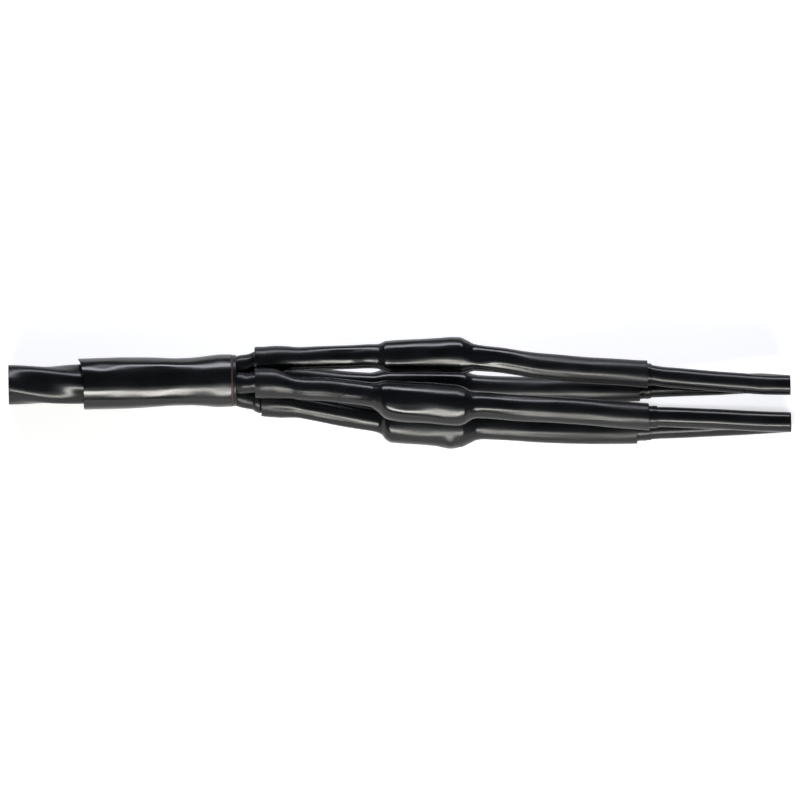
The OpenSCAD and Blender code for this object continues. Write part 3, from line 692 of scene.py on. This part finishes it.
def grooves(x, a):
    """Eighteen outer strands, laid once round in 250 mm."""
    return STRAND_HIGH * (np.abs(np.cos(9 * (a - TURN * x / 250))) - 1)


# Layers of each cable: node, radius, wall, from, to. The conductors are solid, and end inside the connector.
INSULATION = (("cable_insulation", 12.8, 2.0, 105, HALF - 0.4),
              ("core_insulation", 10.8, 1.7, -HALF + 0.2, -21))
CONDUCTOR = (("core_conductor", 9.0, -HALF, 38), ("cable_conductor", 10.6, 46, HALF))
CABLE_R, CABLE_WALL, CABLE_CUT = 15.6, 2.6, 346

for k, line in enumerate(phase_lines):
    sleeve = skin(f"outer_sleeve_skin_{k + 1}", [tube(
        line, radii(PHASE[k]), SLEEVE_WALL,
        spaced(START[k], END[k], 3, *SHOULDERS, (START[k], START[k] + 12, 1)), spaced(START[k], END[k], 9),
        around=120, lip=0.5, relief=hand_shrunk(k))])
    keep(sleeve, phase_gloss, f"outer_sleeve_{k + 1}")
    liner = skin(f"inner_tube_skin_{k + 1}", [tube(
        line, tube_width(k), TUBE_WALL,
        spaced(TUBE_FROM, TUBE_END[k], 5, *SHOULDERS, (END[k] - 4, TUBE_END[k], 0.6)),
        spaced(TUBE_FROM, TUBE_END[k], 10), around=96, lip=0.6, relief=pressed_out(k))])
    keep(liner, tube_gloss, f"inner_tube_{k + 1}")
    cable = skin(f"cable_sheath_skin_{k + 1}", [tube(
        line, level(CABLE_R), CABLE_WALL, spaced(CABLE_CUT, HALF, 3), spaced(CABLE_CUT, HALF, 12),
        around=96, lip=0.3, relief=extruded(k))])
    keep(cable, sheath_gloss, f"cable_sheath_{k + 1}")
    for node, r, wall, start, stop in INSULATION:
        layer = skin(f"{node}_skin_{k + 1}", [tube(
            line, level(r), wall, spaced(start, stop, 8), spaced(start, stop, 12), around=72, lip=0.3)])
        keep(layer, insulation_grey, f"{node}_{k + 1}")
    for node, r, start, stop in CONDUCTOR:
        wire = skin(f"{node}_skin_{k + 1}", [bar(
            line, level(r), spaced(start, stop, 5), around=108, relief=grooves, face=strands)])
        keep(wire, conductor_bright, f"{node}_{k + 1}")
    dress(f"connector_{k + 1}", connector_tinned)
    dress(f"shear_bolts_{k + 1}", bolt_sheared)
    dress(f"filler_{k + 1}", mastic_red)
    dress(f"finger_band_{k + 1}", mastic_red)
dress("crotch_mastic", mastic_red)

# The floor lies just under the object. PALER is how much light its paper adds.
FLOOR_Z, FLOOR_RINGS, PALER = -0.2, np.array([50, 400, 1200, 3000, 6000.0]), 0.55


def matt_paper():
    """Matt white paper, clouded so slightly that it looks even. It is paler to the camera, in reflections and
    through glass than as a light on the object, and keeps the shadow."""
    material, tree, shader = finish_of("paper_matt_white")
    clouds = add(tree, "TexNoise", Vector=object_space(tree), Scale=3.0, Detail=2.0)
    add(tree, "MixRGB", shader.inputs["Base Color"], _0=span(tree, clouds, 0, 1, start=0.3, end=0.7),
        _1=linear("#dedede"), _2=linear("#e4e4e4"))
    shader.inputs["Roughness"].default_value = 0.9
    shader.inputs["Specular IOR Level"].default_value = 0.1
    path = tree.nodes.new("ShaderNodeLightPath").outputs
    seen = add(tree, "Math", operation="MAXIMUM", _0=path["Is Camera Ray"], _1=path["Is Glossy Ray"])
    seen = add(tree, "Math", operation="MAXIMUM", _0=seen, _1=path["Is Transmission Ray"])
    shader.inputs["Emission Color"].default_value = (1, 1, 1, 1)
    span(tree, seen, 0, PALER, shader.inputs["Emission Strength"])
    return material


def floor_sheet():
    """A round sheet, 6 m in radius, of rings about its middle."""
    r, angle = places(FLOOR_RINGS, 96)
    rings = np.stack([r * np.sin(angle), r * np.cos(angle), np.full(r.shape, FLOOR_Z)], -1)
    return skin("floor", [(rings, False, (0, 0, FLOOR_Z), None)])


floor = floor_sheet()
floor.data.materials.append(matt_paper())


def softbox(name, place, toward, width, height, watts, tint):
    """Rectangular lamp that faces a point and stays out of sight."""
    lamp = bpy.data.lights.new(name, "AREA")
    lamp.shape, lamp.size, lamp.size_y, lamp.energy, lamp.color = "RECTANGLE", width, height, watts, tint
    stand(name, lamp, place, toward).visible_camera = False


# Two long lamps in front give the lower highlights and a faint green one above, and one behind the upper.
softbox("front_bank", (0, -1.455, 0.63), (0, 0, 0.06), 2.1, 0.24, 45, (1.0, 0.98, 0.93))
softbox("front_veil", (0, -1.25, 0.94), (0, 0, 0.06), 2.1, 0.50, 2.6, (0.84, 1.0, 0.97))
softbox("back_strip", (0, 1.30, 1.06), (0, 0, 0.08), 2.1, 0.33, 29.5, (0.90, 0.91, 1.0))

# The room is grey at the height of the floor and dark overhead.
ROOM_LOW, ROOM_HIGH, ROOM_TURNS_DARK = (0.25, 0.26, 0.28, 1), (0.02, 0.02, 0.025, 1), 0.45
world = bpy.data.worlds.new("room")
bpy.context.scene.world = world
world.use_nodes = True
tree = world.node_tree
way = tree.nodes.new("ShaderNodeTexCoord").outputs["Generated"]
height = add(tree, "SeparateXYZ", Vector=way).node.outputs["Z"]
darker = span(tree, height, 0, 1, end=ROOM_TURNS_DARK)
add(tree, "MixRGB", tree.nodes["Background"].inputs["Color"], _0=darker, _1=ROOM_LOW, _2=ROOM_HIGH)
tree.nodes["Background"].inputs["Strength"].default_value = 1.0
bpy.context.scene.view_settings.view_transform = "Standard"
